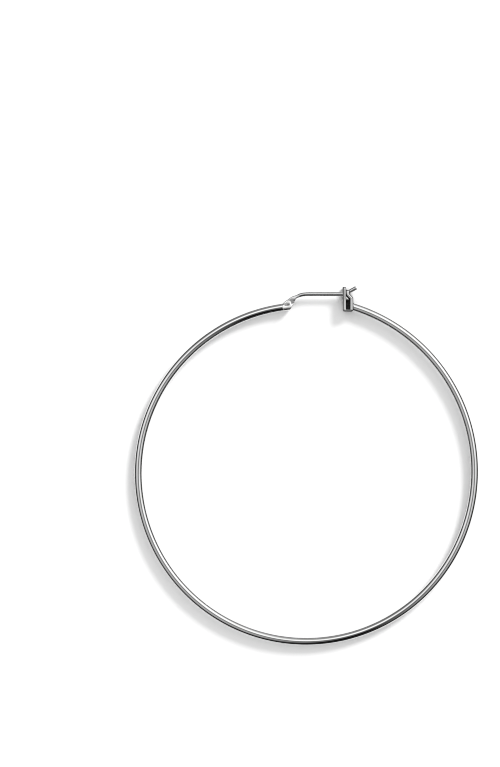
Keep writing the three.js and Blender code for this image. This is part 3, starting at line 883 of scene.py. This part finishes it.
def makeTable():
    # a flat disc in rings: radius times the cosine and sine of the angle
    ring = np.linspace(0, 2 * np.pi, studio["tableSides"] + 1)
    radius = np.array([0.0, 20, 60, 150, 400, studio["tableRadius"]])[:, None]
    x, y = radius * np.cos(ring[:-1]), radius * np.sin(ring[:-1])
    points = np.stack([x, y, 0 * x], -1) * millimetre
    verts, faces = gridShell(points, radius[:, 0], ring)[:2]
    mesh = bpy.data.meshes.new("table")
    mesh.from_pydata(verts.tolist(), [], faces.tolist())
    weld(mesh)
    table = bpy.data.objects.new("table", mesh)
    scene.collection.objects.link(table)
    material = bpy.data.materials.new("white table")
    material.use_nodes = True
    shader = material.node_tree.nodes["Principled BSDF"]
    white, dark = studio["tableWhite"], studio["tableDark"]
    shader.inputs["Roughness"].default_value = 0.25
    # painted shade in reflections: as mirrored in the metal, the table's colour is painted darker
    # towards the horizon by the ray's facing, which paints dark rims along the tube
    tree = material.node_tree
    facing = tree.nodes.new("ShaderNodeLayerWeight")
    facing.inputs["Blend"].default_value = 0.5
    steep = mathNode(tree, "SUBTRACT", 1.0, facing.outputs["Facing"])
    shade = rampNode(tree, steep, studio["grazeDark"], studio["grazeWhite"])
    path = tree.nodes.new("ShaderNodeLightPath")
    glossyShade = mathNode(tree, "MULTIPLY", path.outputs["Is Glossy Ray"],
                           mathNode(tree, "SUBTRACT", 1.0, shade))
    # painted shade: where the metal stands close all round, inside the fold, ambient occlusion
    # paints the table's colour dark, also to the camera
    narrow = tree.nodes.new("ShaderNodeAmbientOcclusion")
    narrow.samples = 8
    narrow.inputs["Distance"].default_value = studio["narrowReach"] * millimetre
    closed = rampNode(tree, narrow.outputs["AO"], studio["narrowDark"], studio["narrowWhite"],
                      1.0, 0.0)
    darker = mathNode(tree, "MAXIMUM", glossyShade, closed)
    tree.links.new(colourMix(tree, darker, (white, white, white), (dark, dark, dark)),
                   shader.inputs["Base Color"])
    mesh.materials.append(material)


def makeKey():
    # soft sun from the upper right, which only casts the shadow: the sky is what the metal shows
    lamp = bpy.data.lights.new("key", "SUN")
    lamp.energy = studio["keyStrength"]
    lamp.angle = np.radians(studio["keyAngle"])
    key = bpy.data.objects.new("key", lamp)
    scene.collection.objects.link(key)
    turn, height = np.radians(studio["keyTurn"]), np.radians(studio["keyHeight"])
    toLight = np.array([np.cos(height) * np.cos(turn), np.cos(height) * np.sin(turn),
                        np.sin(height)])
    key.rotation_euler = Vector(toLight).to_track_quat("Z", "Y").to_euler()
    key.visible_glossy = False


# the studio round the object: the turn and height of each middle in degrees, its tightness and
# its brightness, where a dark card takes light away
studioFill = -0.04  # the same from every side
softLights = {
    "glow past the clasp": (90, -25, 8, 2.0), "overhead box": (-160, 85, 4, 1.8),
    "right box": (50, 40, 12, 1.1), "right fill": (15, 45, 20, 0.8),
    "left window": (160, 45, 25, 0.5), "spot over the clasp": (110, 65, 60, 0.4),
}
darkCards = {
    "front": (-80, 45, 25, -0.6), "front right": (-65, 65, 40, -0.7),
    "right of the camera": (-20, 80, 40, -0.8), "left of the camera": (-140, 75, 15, -1.0),
    "camera": (170, 85, 40, -0.5), "low front": (-110, 10, 30, -0.2),
}


def makeSky():
    world = bpy.data.worlds.new("studio sky")
    scene.world = world
    world.use_nodes = True
    world.cycles.sampling_method = "NONE"
    tree = world.node_tree
    tree.nodes.clear()
    out = tree.nodes.new("ShaderNodeOutputWorld")
    coords = tree.nodes.new("ShaderNodeTexCoord")
    total = None
    for turn, height, tightness, strength in [*softLights.values(), *darkCards.values()]:
        t, h = np.radians(turn), np.radians(height)
        way = (np.cos(h) * np.cos(t), np.cos(h) * np.sin(t), np.sin(h))
        dot = tree.nodes.new("ShaderNodeVectorMath")
        dot.operation = "DOT_PRODUCT"
        dot.inputs[1].default_value = way
        tree.links.new(coords.outputs["Generated"], dot.inputs[0])
        power = mathNode(tree, "MULTIPLY", mathNode(tree, "SUBTRACT", dot.outputs["Value"], 1.0),
                         tightness)
        lobe = mathNode(tree, "MULTIPLY", mathNode(tree, "EXPONENT", power), strength)
        total = lobe if total is None else mathNode(tree, "ADD", total, lobe)
    sky = mathNode(tree, "MAXIMUM", mathNode(tree, "ADD", total, studioFill), studio["skyDark"])
    # the horizon is dark: the room's low walls
    split = tree.nodes.new("ShaderNodeSeparateXYZ")
    tree.links.new(coords.outputs["Generated"], split.inputs[0])
    aboveWalls = rampNode(tree, split.outputs["Z"], studio["wallFoot"], studio["wallTop"])
    sky = mathNode(tree, "MULTIPLY", sky, aboveWalls)
    path = tree.nodes.new("ShaderNodeLightPath")
    seen = tree.nodes.new("ShaderNodeMix")
    seen.data_type = "FLOAT"
    tree.links.new(path.outputs["Is Camera Ray"], seen.inputs["Factor"])
    tree.links.new(sky, seen.inputs["A"])
    seen.inputs["B"].default_value = studio["backdrop"]
    diffuse = tree.nodes.new("ShaderNodeMix")
    diffuse.data_type = "FLOAT"
    tree.links.new(path.outputs["Is Diffuse Ray"], diffuse.inputs["Factor"])
    tree.links.new(seen.outputs["Result"], diffuse.inputs["A"])
    diffuse.inputs["B"].default_value = studio["skyForTable"]
    background = tree.nodes.new("ShaderNodeBackground")
    tree.links.new(diffuse.outputs["Result"], background.inputs["Strength"])
    tree.links.new(background.outputs[0], out.inputs["Surface"])


def makeCamera():
    # straight above, the long side of the view fixed at the tube's middle plane
    data = bpy.data.cameras.new("camera")
    data.sensor_width = 36.0
    data.lens = data.sensor_width * studio["cameraAbove"] / studio["viewLong"]
    data.clip_start, data.clip_end = 0.01, 20.0
    camera = bpy.data.objects.new("camera", data)
    scene.collection.objects.link(camera)
    camera.location = (studio["cameraX"] * millimetre, studio["cameraY"] * millimetre,
                       (drawingPlace[2] + studio["cameraAbove"]) * millimetre)
    scene.camera = camera


makeTable()
makeKey()
makeSky()
makeCamera()
scene.view_settings.view_transform = "Standard"
scene.view_settings.look = "None"
scene.cycles.use_denoising = True
scene.cycles.filter_width = 1.0
print("table, light and camera set")
